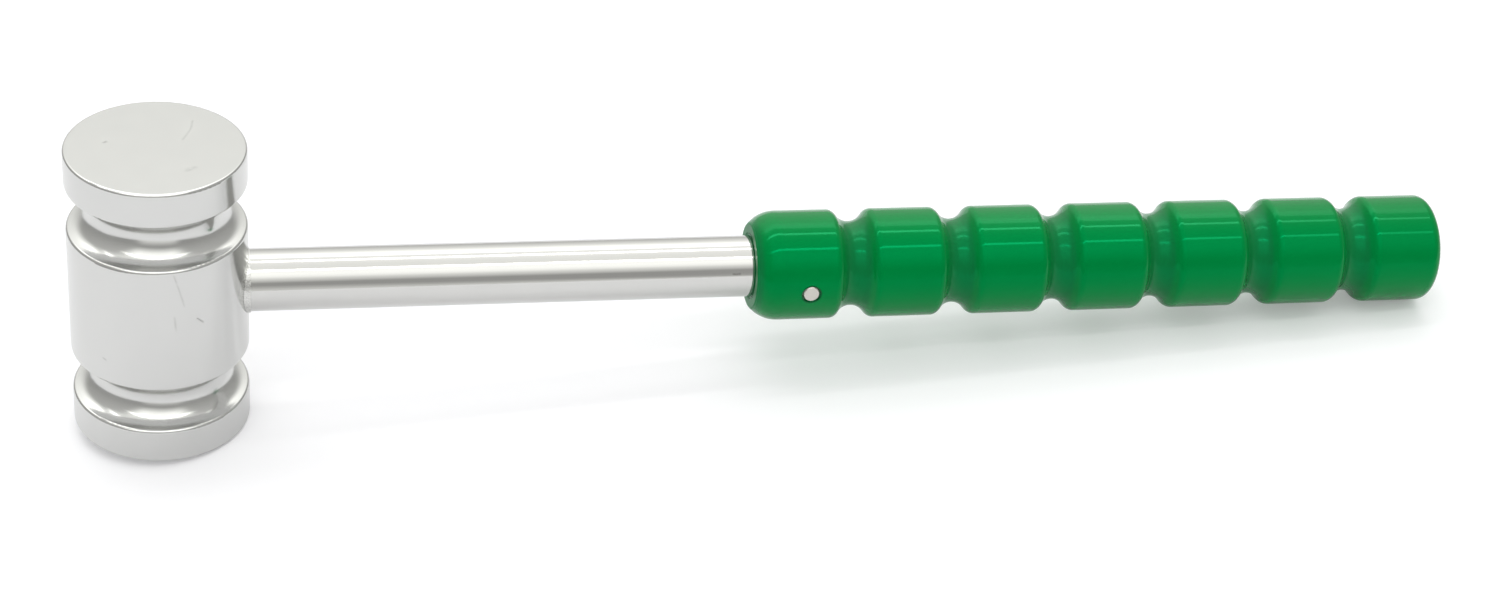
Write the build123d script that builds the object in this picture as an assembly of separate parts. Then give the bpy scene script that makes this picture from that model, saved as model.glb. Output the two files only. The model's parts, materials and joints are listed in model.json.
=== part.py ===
from build123d import *
import math
import os

# A small bone mallet, all in millimetres: a turned steel head with two ring grooves, a plain
# round steel shaft fixed square into its middle, and a ribbed plastic grip that a cross pin
# holds on the shaft.
#
# Every piece is first made in the tool's own axes. There the head turns about Z with its middle
# at the origin, and the shaft runs out along +X. The whole tool is then laid down as it comes
# to rest on a level surface: the rim of one striking face and the back rim of the grip touch
# it, so the shaft slopes down a little towards the grip.

# Head: a barrel between two flanges, whose outer ends are the striking faces
head_diameter = 31.0
head_length = 55.4
barrel_length = 24.7
head_groove_radius = 4.35
face_rim_round = 0.5
groove_lip_round = 0.6

# Shaft, with a thinner spigot that sits in a blind bore of the head
shaft_diameter = 11.2
shaft_back_chamfer = 0.8
spigot_diameter = 8.0
spigot_length = 14.0
spigot_chamfer = 0.6

# Weld ring that fills the wedge between the barrel and the shaft's flat shoulder
weld_gap = 0.2
weld_stand_out = 0.2

# Grip
grip_diameter = 20.0
grip_length = 131.7
grip_front_from_head_axis = 105.5
grip_front_face_diameter = 15.4
grip_front_face_rim_round = 0.2
grip_nose_radius = 6.2
grip_back_radius = 1.95
grip_mouth_chamfer = 0.6
grip_back_wall = 12.0

# Finger grooves round the grip, the first one measured from the grip's front. They follow each
# other for as long as a plain land of at least the given length is left behind the last one.
first_finger_groove = 18.65
finger_groove_pitch = 19.28
shortest_last_land = 12.0
finger_groove_depth = 2.28
finger_groove_radius = 3.5
finger_groove_lip_round = 1.65

# Cross pin through grip and shaft
pin_diameter = 3.0
pin_from_grip_front = 9.7
pin_chamfer = 0.15
pin_hole_countersink = 0.3

# Clearances, each one all round
spigot_clearance = 0.02
spigot_end_clearance = 0.3
weld_clearance = 0.02
bore_clearance = 0.03
bore_end_clearance = 0.5
pin_clearance = 0.02

# Sizes that follow from those above
head_radius = head_diameter / 2
shaft_radius = shaft_diameter / 2
spigot_radius = spigot_diameter / 2
grip_radius = grip_diameter / 2
pin_radius = pin_diameter / 2

head_groove_height = barrel_length / 2 + head_groove_radius
shoulder = head_radius + weld_gap
spigot_bottom = shoulder - spigot_length
spigot_bore_radius = spigot_radius + spigot_clearance

grip_front = grip_front_from_head_axis
grip_back = grip_front + grip_length
grip_front_face_radius = grip_front_face_diameter / 2
grip_bore_radius = shaft_radius + bore_clearance
grip_bore_bottom = grip_back - grip_back_wall
shaft_back = grip_bore_bottom - bore_end_clearance
grooved_length = grip_length - first_finger_groove - shortest_last_land
finger_groove_count = 1 + int(grooved_length // finger_groove_pitch)
pin_place = grip_front + pin_from_grip_front
pin_hole_radius = pin_radius + pin_clearance


def half_section(length, radius):
    """The part of a lengthwise section on one side of the axis, from 0 to length along X."""
    return Rectangle(length, radius, align=(Align.MIN, Align.MIN))


def corners(section, along, out):
    """The corners of a half section that lie at one distance out and one place along its axis."""
    return [
        corner
        for corner in section.vertices()
        if math.isclose(corner.X, along, abs_tol=1e-4) and math.isclose(corner.Y, out, abs_tol=1e-4)
    ]


def turned(section):
    """The solid that a half section sweeps about the X axis."""
    return revolve(section, Axis.X)


def rod(radius, start, end):
    """A round bar along X, from start to end."""
    return Plane.YZ.offset(start) * extrude(Circle(radius), end - start)


def cross_rod(radius, length, along):
    """A round bar along Y, centred on the shaft's axis."""
    return Pos(along, 0, 0) * Rot(90, 0, 0) * Cylinder(radius, length)


def make_head():
    """The turned head, with a blind bore for the spigot in the side of its barrel."""
    section = Pos(-head_length / 2, 0) * half_section(head_length, head_radius)
    face_corners = [corner for corner in section.vertices() if corner.Y > head_radius / 2]
    section = fillet(face_corners, face_rim_round)
    for side in (-1, 1):
        centre = side * head_groove_height
        section -= Pos(centre, head_radius) * Circle(head_groove_radius)
        for edge in (centre - head_groove_radius, centre + head_groove_radius):
            section = fillet(corners(section, edge, head_radius), groove_lip_round)
    upright = Rot(0, -90, 0) * turned(section)
    return upright - rod(spigot_bore_radius, spigot_bottom - spigot_end_clearance, head_diameter)


def make_shaft():
    """The round shaft with its spigot in front, a chamfered back end and the pin's hole."""
    bar = rod(shaft_radius, shoulder, shaft_back)
    bar = chamfer(bar.edges().sort_by(Axis.X)[-1], shaft_back_chamfer)
    spigot = rod(spigot_radius, spigot_bottom, shoulder)
    spigot = chamfer(spigot.edges().sort_by(Axis.X)[0], spigot_chamfer)
    return bar + spigot - cross_rod(pin_hole_radius, 2 * shaft_diameter, pin_place)


def make_weld_ring():
    """The filler between the curved barrel and the flat shoulder, thickest at the two sides."""
    ring_front = shoulder - weld_clearance
    ring = rod(shaft_radius + weld_stand_out, 0, ring_front)
    ring -= rod(spigot_bore_radius, 0, ring_front)
    return ring - Cylinder(head_radius + weld_clearance, head_length)


def countersink():
    """A cone that widens the pin's hole where it comes out on top of a grip that lies along X."""
    start = grip_radius - pin_hole_countersink
    cone = Cone(
        pin_hole_radius,
        pin_hole_radius + 2 * pin_hole_countersink,
        2 * pin_hole_countersink,
        align=(Align.CENTER, Align.CENTER, Align.MIN),
    )
    return Pos(0, 0, start) * cone


def grip_blank():
    """The half section of the grip without its grooves: a rounded nose with a flat front face."""
    climb = grip_front_face_radius - (grip_radius - grip_nose_radius)
    cut_short = grip_nose_radius - math.sqrt(grip_nose_radius**2 - climb**2)
    section = Pos(grip_front - cut_short, 0) * half_section(grip_length + cut_short, grip_radius)
    section = fillet(corners(section, grip_front - cut_short, grip_radius), grip_nose_radius)
    section = fillet(corners(section, grip_back, grip_radius), grip_back_radius)
    section &= Pos(grip_front, 0) * half_section(grip_length, grip_radius)
    return fillet(corners(section, grip_front, grip_front_face_radius), grip_front_face_rim_round)


def make_grip():
    """The ribbed grip, bored from its front, with a countersunk hole across it for the pin."""
    section = grip_blank()
    arc_centre = grip_radius + finger_groove_radius - finger_groove_depth
    half_width = math.sqrt(finger_groove_radius**2 - (arc_centre - grip_radius) ** 2)
    for number in range(finger_groove_count):
        middle = grip_front + first_finger_groove + number * finger_groove_pitch
        section -= Pos(middle, arc_centre) * Circle(finger_groove_radius)
        for edge in (middle - half_width, middle + half_width):
            section = fillet(corners(section, edge, grip_radius), finger_groove_lip_round)
    section -= Pos(grip_front, 0) * half_section(grip_length - grip_back_wall, grip_bore_radius)
    mouth = section.vertices().group_by(Axis.Y)[1].sort_by(Axis.X)[0]
    section = chamfer(mouth, grip_mouth_chamfer)
    grip = turned(section) - cross_rod(pin_hole_radius, 2 * grip_diameter, pin_place)
    for turn in (90, -90):
        grip -= Pos(pin_place, 0, 0) * Rot(turn, 0, 0) * countersink()
    return grip


def make_grip_pin():
    """The plain pin, flush with the grip at both ends."""
    flush = 2 * math.sqrt(grip_radius**2 - pin_radius**2)
    pin = cross_rod(pin_radius, flush, pin_place)
    return chamfer(pin.edges().filter_by(GeomType.CIRCLE), pin_chamfer)


def resting_place():
    """Where the tool's axes lie at rest, with the origin under the middle of its outer box."""
    face_rim = (head_radius - face_rim_round, face_rim_round - head_length / 2)
    back_rim = (grip_back - grip_back_radius, grip_back_radius - grip_radius)
    run = back_rim[0] - face_rim[0]
    rise = back_rim[1] - face_rim[1]
    reach = math.hypot(run, rise)
    lean = math.acos((grip_back_radius - face_rim_round) / reach) - math.atan2(run, rise)
    ground = face_rim_round - face_rim[1] * math.cos(lean) + face_rim[0] * math.sin(lean)
    front = face_rim[1] * math.sin(lean) - face_rim[0] * math.cos(lean) - face_rim_round
    back = back_rim[0] * math.cos(lean) - back_rim[1] * math.sin(lean) + grip_back_radius
    return Pos(-(front + back) / 2, 0, ground) * Rot(0, math.degrees(lean), 0)


pieces = {
    "head": make_head(),
    "shaft": make_shaft(),
    "weld_ring": make_weld_ring(),
    "grip": make_grip(),
    "grip_pin": make_grip_pin(),
}

os.makedirs("parts", exist_ok=True)
for name, piece in pieces.items():
    export_step(resting_place() * piece, f"parts/{name}.step")
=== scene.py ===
import json
import math

import bpy
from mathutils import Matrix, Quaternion, Vector


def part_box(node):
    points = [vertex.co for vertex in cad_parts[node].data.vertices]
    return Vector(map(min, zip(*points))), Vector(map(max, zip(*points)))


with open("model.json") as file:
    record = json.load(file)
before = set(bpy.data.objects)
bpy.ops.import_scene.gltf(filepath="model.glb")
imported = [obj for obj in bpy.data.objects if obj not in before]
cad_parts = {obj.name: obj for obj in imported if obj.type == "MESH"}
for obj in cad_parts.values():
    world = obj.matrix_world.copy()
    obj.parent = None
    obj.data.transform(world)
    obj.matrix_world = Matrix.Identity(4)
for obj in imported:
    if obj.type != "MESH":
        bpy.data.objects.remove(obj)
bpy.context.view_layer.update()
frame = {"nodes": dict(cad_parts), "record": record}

mm = 0.001

# The tool's own axes, read from the frame: Z along the head, X along the shaft
mounts = {mount["name"]: mount for mount in frame["record"]["mounts"]}
upper_face = Vector(mounts["striking_face_upper"]["pos_m"])
lower_face = Vector(mounts["striking_face_lower"]["pos_m"])
head_middle = (upper_face + lower_face) / 2
head_axis = (upper_face - lower_face).normalized()
lean = math.atan2(head_axis.x, head_axis.z)
shaft_axis = Vector((math.cos(lean), 0, -math.sin(lean)))
face_height = (upper_face - lower_face).length / 2
head_low, head_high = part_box("head")
head_radius = (head_high[1] - head_low[1]) / 2

# The grip and its cross pin, with places along the shaft measured from the head's middle
grip_low, grip_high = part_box("grip")
grip_radius = (grip_high[1] - grip_low[1]) / 2
pin_low, pin_high = (Vector(corner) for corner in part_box("grip_pin"))
pin_radius = (pin_high.x - pin_low.x) / 2
pin_place = ((pin_low + pin_high) / 2 - head_middle).dot(shaft_axis)
pin_from_mouth = 9.7 * mm
mouth_place = pin_place - pin_from_mouth

# The photograph's viewpoint
camera_azimuth = math.radians(-11.067)
camera_elevation = math.radians(34.810)
camera_roll = math.radians(0.800)
camera_distance = 528.75 * mm
camera_aim = Vector((-4.295, 0.0, 13.157)) * mm
camera_lens = 68.998
camera_sensor = 36.0
camera_nearest = 0.01
camera_furthest = 20.0


def add_camera():
    """A camera at the photograph's viewing angle."""
    data = bpy.data.cameras.new("photo_camera")
    data.sensor_width = camera_sensor
    data.lens = camera_lens
    data.clip_start = camera_nearest
    data.clip_end = camera_furthest
    camera = bpy.data.objects.new("photo_camera", data)
    away = Vector((
        math.sin(camera_azimuth) * math.cos(camera_elevation),
        -math.cos(camera_azimuth) * math.cos(camera_elevation),
        math.sin(camera_elevation),
    ))
    camera.location = camera_aim + away * camera_distance
    camera.rotation_mode = "QUATERNION"
    camera.rotation_quaternion = away.to_track_quat("Z", "Y") @ Quaternion((0, 0, 1), camera_roll)
    bpy.context.scene.collection.objects.link(camera)
    bpy.context.scene.camera = camera


class Nodes:
    """A short way to write a node tree."""

    def __init__(self, tree):
        self.tree = tree
        tree.nodes.clear()

    def set(self, node, name, value):
        """Gives an input, by name or number, a value or a link."""
        socket = node.inputs[name]
        if isinstance(value, bpy.types.NodeSocket):
            self.tree.links.new(value, socket)
        else:
            socket.default_value = value

    def add(self, kind, inputs=None, **settings):
        """A new node with its settings and inputs."""
        node = self.tree.nodes.new(kind)
        for name, value in settings.items():
            setattr(node, name, value)
        for name, value in (inputs or {}).items():
            self.set(node, name, value)
        return node

    def math(self, operation, *values):
        """The result of a math node."""
        node = self.add("ShaderNodeMath", dict(enumerate(values)), operation=operation)
        return node.outputs[0]

    def vector(self, operation, *values, output="Vector"):
        """The result of a vector math node."""
        node = self.add("ShaderNodeVectorMath", dict(enumerate(values)), operation=operation)
        return node.outputs[output]

    def split(self, vector):
        """The three parts of a vector."""
        node = self.add("ShaderNodeSeparateXYZ", {"Vector": vector})
        return node.outputs["X"], node.outputs["Y"], node.outputs["Z"]

    def join(self, x, y, z):
        """A vector from its three parts."""
        return self.add("ShaderNodeCombineXYZ", {"X": x, "Y": y, "Z": z}).outputs["Vector"]

    def step(self, value, start, end, low=0.0, high=1.0):
        """A smooth step from low at start to high at end."""
        inputs = {"Value": value, "From Min": start, "From Max": end, "To Min": low, "To Max": high}
        return self.add("ShaderNodeMapRange", inputs, interpolation_type="SMOOTHSTEP").outputs["Result"]

    def from_axis(self, first, second):
        """Distance from an axis, from the two places across it."""
        squares = [self.math("POWER", place, 2.0) for place in (first, second)]
        return self.math("SQRT", self.math("ADD", *squares))

    def noise(self, place, size, detail=2.0):
        """Soft noise from 0 to 1 whose blotches are about the given size in metres."""
        inputs = {"Vector": place, "Scale": 1 / size, "Detail": detail}
        return self.add("ShaderNodeTexNoise", inputs).outputs["Fac"]

    def centred(self, noise):
        """Noise moved to lie about 0."""
        return self.math("SUBTRACT", noise, 0.5)

    def total(self, base, *terms):
        """A base value and what each term adds to it, given as a mask and an amount."""
        for mask, amount in terms:
            base = self.math("MULTIPLY_ADD", mask, amount, base)
        return base

    def blend(self, share, first, second):
        """A number between two numbers. A mix node's sockets share names, so they go by number."""
        node = self.add("ShaderNodeMix", {0: share, 2: first, 3: second}, data_type="FLOAT")
        return node.outputs[0]

    def mix(self, share, first, second):
        """A colour between two colours."""
        node = self.add("ShaderNodeMix", {0: share}, data_type="RGBA")
        for number, colour in ((6, first), (7, second)):
            self.set(node, number, (*colour, 1.0) if isinstance(colour, tuple) else colour)
        return node.outputs[2]

    def ramp(self, value, stops):
        """A level that goes straight from stop to stop, as (place, level) pairs."""
        node = self.add("ShaderNodeValToRGB", {"Fac": value})
        node.color_ramp.interpolation = "LINEAR"
        elements = node.color_ramp.elements
        while len(elements) > 1:
            elements.remove(elements[-1])
        for number, (place, level) in enumerate(stops):
            element = elements[0] if number == 0 else elements.new(place)
            element.position = place
            element.color = (level, level, level, 1.0)
        return node.outputs["Color"]

    def bump(self, height, distance, under=None):
        """A normal bent by a height from 0 to 1, which stands for the given distance in metres."""
        inputs = {"Height": height, "Distance": distance, "Strength": 1.0}
        if under is not None:
            inputs["Normal"] = under
        return self.add("ShaderNodeBump", inputs).outputs["Normal"]

    def surface(self, colour, rough, normal, others):
        """Ends the tree with a principled shader."""
        inputs = {"Base Color": colour, "Roughness": rough, "Normal": normal, **others}
        shader = self.add("ShaderNodeBsdfPrincipled", inputs)
        self.add("ShaderNodeOutputMaterial", {"Surface": shader.outputs["BSDF"]})


def new_material(name):
    """A material and its emptied node tree."""
    material = bpy.data.materials.new(name)
    material.use_nodes = True
    return material, Nodes(material.node_tree)


def tool_place(nodes):
    """The shaded point in the tool's own axes, in metres."""
    point = nodes.add("ShaderNodeTexCoord").outputs["Object"]
    inputs = {"Vector": point, "Location": head_middle, "Rotation": (0.0, lean, 0.0)}
    return nodes.add("ShaderNodeMapping", inputs, vector_type="TEXTURE").outputs["Vector"]


def drawn_out(nodes, place, squeeze):
    """The place with its X squeezed, which draws noise out into streaks along the shaft."""
    x, y, z = nodes.split(place)
    return nodes.join(nodes.math("MULTIPLY", x, squeeze), y, z)


# Small marks in the steel, each with its points in the tool's axes, its half width and its
# strength. Points and widths are in millimetres, and strength is how much a mark shows, up to 1.
face_top = face_height / mm
face_scratch = [(6.5, 8.4, face_top), (6.1, 5.7, face_top), (4.7, 2.4, face_top)]
face_pit = [(-8.1, 2.1, face_top), (-8.5, 1.8, face_top)]
face_scuff = [(5.2, -7.6, face_top), (6.4, -6.9, face_top)]
barrel_scratch = [(2.5, -15.3, 11.4), (3.4, -15.1, 7.9), (4.1, -15.0, 5.1)]
barrel_scrape = [(2.4, -15.3, 2.9), (2.6, -15.3, 0.2)]
barrel_nick = [(6.2, -14.2, 1.9), (7.2, -13.7, 0.8)]
barrel_pit = [(-9.8, -12.0, -7.3), (-9.4, -12.4, -7.5)]
shaft_nick = [(101.5, -5.3, 1.8), (102.7, -5.3, 1.8)]
head_marks = [
    (face_scratch, 0.40, 0.22),
    (face_pit, 0.42, 0.65),
    (face_scuff, 0.90, 0.20),
    (barrel_scratch, 0.32, 0.27),
    (barrel_scrape, 0.35, 0.27),
    (barrel_nick, 0.32, 0.6),
    (barrel_pit, 0.30, 0.4),
]
shaft_marks = [(shaft_nick, 0.3, 0.8)]
mark_rough = 0.25


def mark(nodes, place, points, width):
    """A mask of 1 on a broken line through the points, which fades to 0 at its half width."""
    mask = None
    for first, last in zip(points, points[1:]):
        start = Vector(first) * mm
        run = (Vector(last) - Vector(first)) * mm
        from_start = nodes.vector("SUBTRACT", place, start)
        share = nodes.vector("DOT_PRODUCT", from_start, run / run.length_squared, output="Value")
        share = nodes.add("ShaderNodeClamp", {"Value": share}).outputs["Result"]
        along = nodes.vector("SCALE", run)
        nodes.set(along.node, "Scale", share)
        away = nodes.vector("LENGTH", nodes.vector("SUBTRACT", from_start, along), output="Value")
        near = nodes.step(away, 0.0, width * mm, 1.0, 0.0)
        mask = near if mask is None else nodes.math("MAXIMUM", mask, near)
    return mask


def worn_marks(nodes, place, marks):
    """All the marks together, broken up a little by noise."""
    patch_size = 0.5 * mm
    noise_when_faint = 0.3
    noise_when_full = 0.6
    faintest = 0.35
    together = None
    for points, width, strength in marks:
        one = nodes.math("MULTIPLY", mark(nodes, place, points, width), strength)
        together = one if together is None else nodes.math("MAXIMUM", together, one)
    patches = nodes.noise(place, patch_size)
    uneven = nodes.step(patches, noise_when_faint, noise_when_full, faintest, 1.0)
    return nodes.math("MULTIPLY", together, uneven)


metal = {"Metallic": 1.0}


def head_steel():
    """Turned steel with fine lathe rings, which its two ring grooves lack."""
    outer_skin = 0.05 * mm
    groove_start = 0.30 * mm
    face_skin = 0.45 * mm
    rim_end = 0.60 * mm
    ring_size = 0.09 * mm
    ring_waver = 0.4 * mm
    ring_depth = 0.0004 * mm
    stain_size = 4.0 * mm
    mark_depth = 0.02 * mm
    groove_rough = 0.18
    turned_rough = 0.16
    stain_rough = 0.08
    dark_steel = (0.658, 0.661, 0.650)
    light_steel = (0.685, 0.688, 0.673)
    mark_colour = (0.30, 0.30, 0.29)
    material, nodes = new_material("head_steel")
    place = tool_place(nodes)
    x, y, z = nodes.split(place)
    radius = nodes.from_axis(x, y)
    turn = nodes.math("ARCTAN2", y, x)
    height = nodes.math("ABSOLUTE", z)

    # What lies under the head's outside and away from its two faces is a groove
    inside = nodes.step(radius, head_radius - groove_start, head_radius - outer_skin, 1.0, 0.0)
    off_face = nodes.step(height, face_height - rim_end, face_height - face_skin, 1.0, 0.0)
    turned = nodes.math("SUBTRACT", 1.0, nodes.math("MULTIPLY", inside, off_face))

    lathe = nodes.join(radius, nodes.math("MULTIPLY", turn, ring_waver), z)
    rings = nodes.noise(lathe, ring_size, detail=3.0)
    stains = nodes.noise(place, stain_size, detail=3.0)
    marks = worn_marks(nodes, place, head_marks)
    rough = nodes.total(
        groove_rough,
        (turned, turned_rough - groove_rough),
        (nodes.centred(stains), stain_rough),
        (marks, mark_rough),
    )
    colour = nodes.mix(stains, dark_steel, light_steel)
    colour = nodes.mix(marks, colour, mark_colour)
    fine = nodes.bump(nodes.math("MULTIPLY", rings, turned), ring_depth)
    normal = nodes.bump(nodes.math("SUBTRACT", 1.0, marks), mark_depth, fine)
    nodes.surface(colour, rough, normal, metal)
    return material


def shaft_steel():
    """Polished round bar with faint streaks along it."""
    streak_size = 0.25 * mm
    streak_squeeze = 0.02
    streak_depth = 0.0006 * mm
    cloud_size = 6.0 * mm
    polished_rough = 0.05
    cloud_rough = 0.06
    dark_steel = (0.650, 0.650, 0.635)
    light_steel = (0.675, 0.672, 0.655)
    mark_colour = (0.28, 0.27, 0.26)
    material, nodes = new_material("shaft_steel")
    place = tool_place(nodes)
    streaks = nodes.noise(drawn_out(nodes, place, streak_squeeze), streak_size, detail=3.0)
    clouds = nodes.noise(place, cloud_size)
    marks = worn_marks(nodes, place, shaft_marks)
    rough = nodes.total(polished_rough, (clouds, cloud_rough), (marks, mark_rough))
    colour = nodes.mix(clouds, dark_steel, light_steel)
    colour = nodes.mix(marks, colour, mark_colour)
    nodes.surface(colour, rough, nodes.bump(streaks, streak_depth), metal)
    return material


def weld_metal():
    """The dressed weld: soft lumps and a light, finely mottled surface."""
    lump_size = 1.1 * mm
    lump_depth = 0.15 * mm
    pore_size = 0.3 * mm
    pore_depth = 0.01 * mm
    smooth_rough = 0.18
    pore_rough = 0.2
    dark_metal = (0.62, 0.62, 0.60)
    light_metal = (0.76, 0.76, 0.74)
    material, nodes = new_material("weld_metal")
    place = tool_place(nodes)
    lumps = nodes.noise(place, lump_size)
    pores = nodes.noise(place, pore_size, detail=3.0)
    rough = nodes.total(smooth_rough, (pores, pore_rough))
    colour = nodes.mix(pores, dark_metal, light_metal)
    normal = nodes.bump(pores, pore_depth, nodes.bump(lumps, lump_depth))
    nodes.surface(colour, rough, normal, metal)
    return material


def pin_steel():
    """The pin's ends, ground flush with the grip."""
    grinding_size = 0.12 * mm
    grinding_squeeze = 0.1
    grinding_depth = 0.002 * mm
    ground_rough = 0.25
    grinding_rough = 0.2
    # The warm, pinkish tint of this steel is a painted reflection. The grey under it is the steel's
    # own.
    dark_steel = (0.60, 0.57, 0.53)
    light_steel = (0.68, 0.65, 0.60)
    material, nodes = new_material("pin_steel")
    drawn = drawn_out(nodes, tool_place(nodes), grinding_squeeze)
    grinding = nodes.noise(drawn, grinding_size, detail=3.0)
    rough = nodes.total(ground_rough, (grinding, grinding_rough))
    colour = nodes.mix(grinding, dark_steel, light_steel)
    nodes.surface(colour, rough, nodes.bump(grinding, grinding_depth), metal)
    return material


def grip_plastic():
    """Glossy green plastic, duller in the finger grooves and at the mouth, with painted shade darkening
    the finger grooves, the mouth and a ring round the pin.
    """
    groove_floor = grip_radius - 1.7 * mm
    groove_side = grip_radius - 0.9 * mm
    ring_inner = pin_radius + 0.2 * mm
    ring_outer = pin_radius + 0.55 * mm
    front_start = mouth_place + 0.1 * mm
    front_end = mouth_place + 0.5 * mm
    grain_size = 0.5 * mm
    grain_depth = 0.0012 * mm
    cloud_size = 12.0 * mm
    glossy_rough = 0.07
    groove_rough = 0.08
    front_rough = 0.25
    grain_rough = 0.06
    dark_green = (0.0, 0.197, 0.037)
    light_green = (0.0, 0.223, 0.044)
    # Painted shade: the finger grooves' green is darker and greyer than the lands'.
    groove_shade_green = (0.008, 0.140, 0.045)
    groove_shade_share = 0.6
    # Painted shade: a near-black ring round the pin, for the shaded gap between the pin and the grip.
    pin_gap_shade_green = (0.004, 0.030, 0.010)
    pin_gap_shade_share = 0.85
    # Painted shade: the mouth's face is a slightly darker green, for the shade where the shaft goes in.
    mouth_shade_green = (0.002, 0.080, 0.020)
    mouth_shade_share = 0.1
    plastic = {"IOR": 1.5, "Specular Tint": (0.0, 1.0, 0.40, 1.0)}
    material, nodes = new_material("grip_plastic")
    place = tool_place(nodes)
    x, y, z = nodes.split(place)
    from_pin = nodes.from_axis(nodes.math("SUBTRACT", x, pin_place), z)
    groove = nodes.step(nodes.from_axis(y, z), groove_floor, groove_side, 1.0, 0.0)
    # Where the painted shade of the pin's gap lies.
    ring = nodes.step(from_pin, ring_inner, ring_outer, pin_gap_shade_share, 0.0)
    front = nodes.step(x, front_start, front_end, 1.0, 0.0)
    grain = nodes.noise(place, grain_size, detail=3.0)
    clouds = nodes.noise(place, cloud_size)
    rough = nodes.total(
        glossy_rough,
        (groove, groove_rough),
        (front, front_rough),
        (nodes.centred(grain), grain_rough),
    )
    colour = nodes.mix(clouds, dark_green, light_green)
    # Painted shade in the finger grooves.
    colour = nodes.mix(nodes.math("MULTIPLY", groove, groove_shade_share), colour, groove_shade_green)
    # Painted shade in the ring round the pin.
    colour = nodes.mix(ring, colour, pin_gap_shade_green)
    # Painted shade at the mouth.
    colour = nodes.mix(nodes.math("MULTIPLY", front, mouth_shade_share), colour, mouth_shade_green)
    nodes.surface(colour, rough, nodes.bump(grain, grain_depth), plastic)
    return material


def dress(node, material):
    """Gives a node of the frame its material."""
    thing = frame["nodes"][node]
    thing.data.materials.clear()
    thing.data.materials.append(material)


# The white surface that the mallet lies on. It ends a little in front of the mallet, so that the
# steel mirrors the darker front of the studio. Its glow whitens it for the camera, and less so in
# reflections, and casts no diffuse light on the mallet.
floor_reach = 4.0
floor_front = 0.20
floor_colour = (0.770, 0.770, 0.800)
glow_seen = 0.25
glow_reflected = 0.10


def add_floor():
    """The floor, which keeps the mallet's shadow."""
    corners = [
        (-floor_reach, -floor_front, 0),
        (floor_reach, -floor_front, 0),
        (floor_reach, floor_reach, 0),
        (-floor_reach, floor_reach, 0),
    ]
    mesh = bpy.data.meshes.new("floor")
    mesh.from_pydata(corners, [], [(0, 1, 2, 3)])
    floor = bpy.data.objects.new("floor", mesh)
    bpy.context.scene.collection.objects.link(floor)
    material, nodes = new_material("floor_white")
    path = nodes.add("ShaderNodeLightPath").outputs
    reflected = nodes.math("MAXIMUM", path["Is Glossy Ray"], path["Is Transmission Ray"])
    strength = nodes.math("MULTIPLY", reflected, glow_reflected)
    strength = nodes.math("MULTIPLY_ADD", path["Is Camera Ray"], glow_seen, strength)
    diffuse = nodes.add("ShaderNodeBsdfDiffuse", {"Color": (*floor_colour, 1.0)})
    glow = nodes.add("ShaderNodeEmission", {"Strength": strength})
    both = nodes.add("ShaderNodeAddShader", {0: diffuse.outputs[0], 1: glow.outputs[0]})
    nodes.add("ShaderNodeOutputMaterial", {"Surface": both.outputs[0]})
    mesh.materials.append(material)


# Studio light, by the angle in degrees from the front horizon (0) over the top (90) to the back
# horizon (180), and from a little below the front horizon. The front is darkest a little above the
# horizon. Over it are a ceiling with two strip lamps, a brighter panel behind them, and a back wall
# that gets darker towards the horizon.
strip_level = 6.0
studio_bands = [
    (-30, 1.00), (-20, 1.00), (-12, 0.92), (-4, 0.75), (4, 0.58), (11, 0.42), (19, 0.42),
    (26, 0.71), (34, 0.98), (41, 1.32), (49, 1.50), (56, 1.50), (62.6, 1.40),
    (63.0, strip_level), (67.2, strip_level), (67.6, 1.10), (79, 1.12), (88, 1.17), (95, 1.25),
    (98.6, 1.30), (99.0, strip_level), (103.2, strip_level), (103.6, 1.20), (115.8, 1.25),
    (117.0, 2.60), (126, 2.40), (134, 1.55), (148, 1.08), (163, 0.80), (172, 0.68), (180, 0.60),
]

# The studio's left and right sides are darker than its middle. They begin and are complete at
# these sideways parts of a direction, and have this level at the horizon and this rise to the top.
side_start = 0.35
side_end = 0.65
side_level = 0.36
side_rise = 0.30
studio_tint = (1.0, 1.0, 0.97)


def light_studio():
    """The world: the studio for light and reflections, and white for camera and transmission."""
    world = bpy.data.worlds.new("studio")
    bpy.context.scene.world = world
    world.use_nodes = True
    nodes = Nodes(world.node_tree)
    x, y, z = nodes.split(nodes.add("ShaderNodeTexCoord").outputs["Generated"])
    angle = nodes.math("ARCTAN2", z, nodes.math("MULTIPLY", y, -1.0))
    brightest = max(level for _, level in studio_bands)
    first, last = studio_bands[0][0], studio_bands[-1][0]
    stops = [((place - first) / (last - first), level / brightest) for place, level in studio_bands]
    inputs = {"Value": angle, "From Min": math.radians(first), "From Max": math.radians(last)}
    share = nodes.add("ShaderNodeMapRange", inputs).outputs["Result"]
    bands = nodes.math("MULTIPLY", nodes.ramp(share, stops), brightest)
    side = nodes.math("MULTIPLY_ADD", z, side_rise, side_level)
    aside = nodes.step(nodes.math("ABSOLUTE", x), side_start, side_end)
    strength = nodes.blend(aside, bands, side)
    studio = nodes.add("ShaderNodeBackground", {"Color": (*studio_tint, 1.0), "Strength": strength})
    white = nodes.add("ShaderNodeBackground", {"Color": (1.0, 1.0, 1.0, 1.0), "Strength": 1.0})
    path = nodes.add("ShaderNodeLightPath").outputs
    seen = nodes.math("MAXIMUM", path["Is Camera Ray"], path["Is Transmission Ray"])
    pick = nodes.add("ShaderNodeMixShader", {0: seen, 1: studio.outputs[0], 2: white.outputs[0]})
    nodes.add("ShaderNodeOutputWorld", {"Surface": pick.outputs[0]})


add_camera()
add_floor()
light_studio()
dress("head", head_steel())
dress("shaft", shaft_steel())
dress("weld_ring", weld_metal())
dress("grip_pin", pin_steel())
dress("grip", grip_plastic())

bpy.context.scene.view_settings.view_transform = "Standard"
